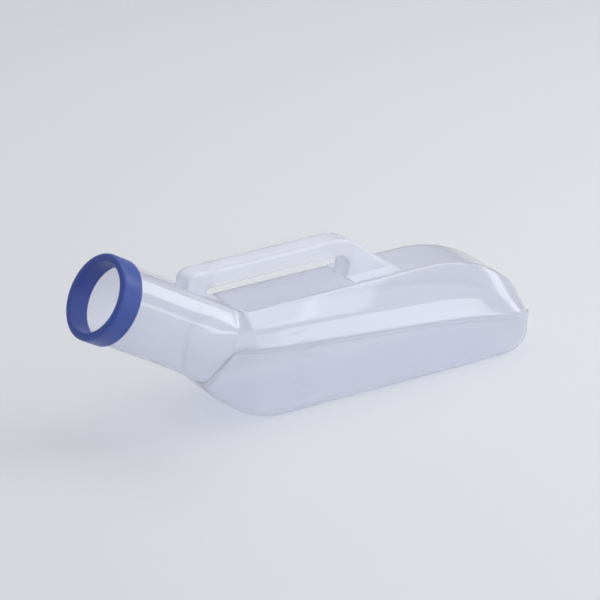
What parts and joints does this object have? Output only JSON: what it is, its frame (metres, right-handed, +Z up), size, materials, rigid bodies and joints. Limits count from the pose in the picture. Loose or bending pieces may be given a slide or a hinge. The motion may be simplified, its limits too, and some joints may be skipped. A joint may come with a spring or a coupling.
{
  "type": "urine bottle",
  "caption": "Clear plastic urine bottle that lies on its flat base, with a slanted neck, a blue collar round the mouth and a grip handle on top.",
  "frame": {"origin": "middle of the flat base that the bottle lies on", "axes": "+X towards the closed rear end, the mouth at -X; +Y to the bottle's left seen from the mouth; +Z up"},
  "size_m": [0.352, 0.0792, 0.1323],
  "materials": {
    "clear_plastic": "clear rigid plastic, polished",
    "blue_collar": "soft satin blue"
  },
  "bodies": {
    "bottle": {"lower_shell": "clear_plastic", "upper_shell": "clear_plastic", "grip_handle": "clear_plastic"},
    "collar": {"mouth_collar": "blue_collar"}
  },
  "joints": [
    {"name": "collar_pull", "type": "slide", "parent": "bottle", "child": "collar", "axis": [-0.8607, 0, 0.509], "range_m": [0, 0.03]}
  ]
}
